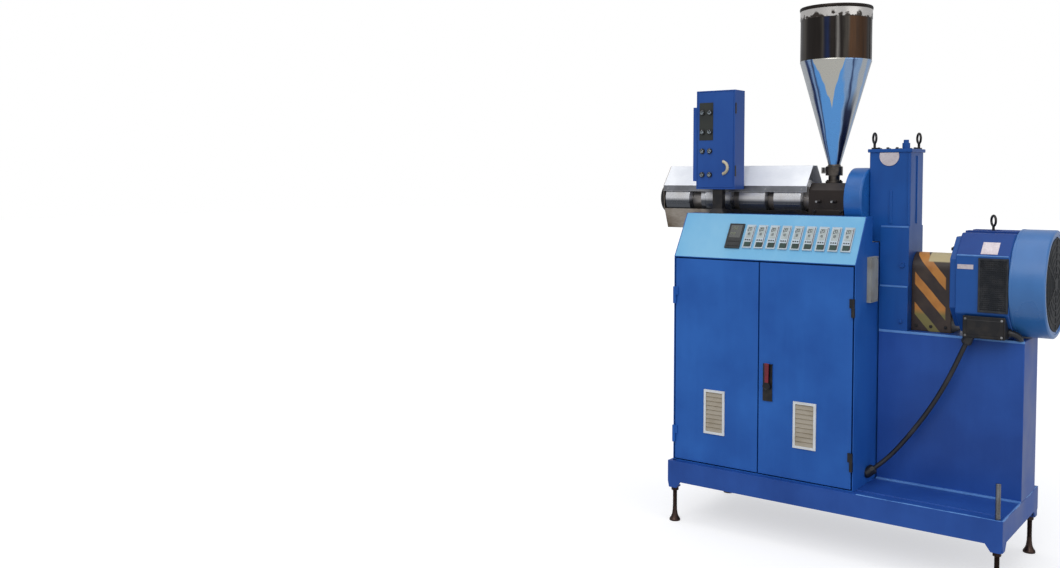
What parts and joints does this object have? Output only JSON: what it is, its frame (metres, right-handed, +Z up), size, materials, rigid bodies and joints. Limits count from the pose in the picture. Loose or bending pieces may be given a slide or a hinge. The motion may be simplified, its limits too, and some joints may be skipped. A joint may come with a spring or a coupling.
{
  "type": "plastic extruder",
  "caption": "Floor-standing single-screw plastic extruder: steel cabinet with sloping instrument panel, heated barrel, steel hopper, gearbox, guarded drive and motor on one base.",
  "frame": {"origin": "on the floor, under the middle of the machine's box", "axes": "+X from the die towards the motor, +Y from the doors towards the back, +Z up"},
  "size_m": [1.42, 0.513, 1.8932],
  "materials": {
    "machine_blue": "semi-gloss enamel",
    "base_blue": "semi-gloss enamel",
    "panel_blue": "satin powder coat",
    "drive_blue": "semi-gloss enamel on castings",
    "motor_blue": "semi-gloss enamel",
    "stainless": "polished stainless sheet",
    "mirror_stainless": "mirror-polished stainless sheet",
    "dark_steel": "blackened machined steel",
    "dark_casting": "as cast, oiled",
    "black_plastic": "moulded",
    "black_paint": "satin",
    "red_plastic": "moulded",
    "grille_beige": "moulded",
    "instrument_grey": "moulded bezel with dark windows",
    "grey_plastic": "moulded",
    "hazard_stripes": "black and orange diagonal stripes",
    "zinc_steel": "dull zinc",
    "cable_black": "black sheath"
  },
  "bodies": {
    "machine": {"base_front_rail": "base_blue", "base_back_rail": "base_blue", "base_end_plates": "base_blue", "base_deck": "base_blue", "screw_feet": "zinc_steel", "cabinet_left_wall": "machine_blue", "cabinet_right_wall": "machine_blue", "cabinet_back_wall": "machine_blue", "cabinet_floor": "machine_blue", "cabinet_top": "machine_blue", "cabinet_door_frame": "machine_blue", "control_panel": "panel_blue", "temperature_controllers": "instrument_grey", "main_meter": "black_plastic", "door_hinges": "black_paint", "side_box": "grey_plastic", "cable_glands": "black_plastic", "motor_cable": "cable_black", "barrel": "dark_steel", "die_flange": "dark_steel", "heater_bands": "stainless", "barrel_cover_roof": "stainless", "barrel_trough": "stainless", "barrel_cover_end": "stainless", "barrel_cradle": "dark_steel", "feed_block": "dark_casting", "hopper_neck": "dark_steel", "hopper_cone": "mirror_stainless", "hopper_drum": "mirror_stainless", "bearing_housing": "drive_blue", "gearbox_housing": "drive_blue", "gearbox_lid": "drive_blue", "breather_cap": "drive_blue", "lifting_eyes": "dark_steel", "motor_pedestal": "machine_blue", "drive_guard": "hazard_stripes", "motor_frame": "motor_blue", "motor_end_shield": "motor_blue", "motor_cowl": "motor_blue", "motor_feet": "motor_blue", "commutator_grille": "black_paint", "terminal_box": "black_paint", "conduit": "black_plastic", "control_box": "machine_blue", "control_box_strip": "black_paint", "control_box_dials": "grey_plastic", "control_box_post": "black_paint"},
    "left_door": {"door_left": "machine_blue", "vent_left": "grille_beige"},
    "right_door": {"door_right": "machine_blue", "vent_right": "grille_beige"},
    "handle": {"door_handle": "red_plastic"},
    "gate": {"slide_gate": "stainless"}
  },
  "joints": [
    {"name": "left_door_hinge", "type": "hinge", "parent": "machine", "child": "left_door", "pos_m": [-0.5225, -0.2425, 0.6], "axis": [0, 0, 1], "range_deg": [-110, 0]},
    {"name": "right_door_hinge", "type": "hinge", "parent": "machine", "child": "right_door", "pos_m": [0.1545, -0.2425, 0.6], "axis": [0, 0, 1], "range_deg": [0, 110]},
    {"name": "door_handle_turn", "type": "hinge", "parent": "right_door", "child": "handle", "pos_m": [-0.149, -0.2365, 0.553], "axis": [0, 1, 0], "range_deg": [0, 90]},
    {"name": "hopper_gate_slide", "type": "slide", "parent": "machine", "child": "gate", "axis": [-1, 0, 0], "range_m": [0, 0.034]}
  ]
}
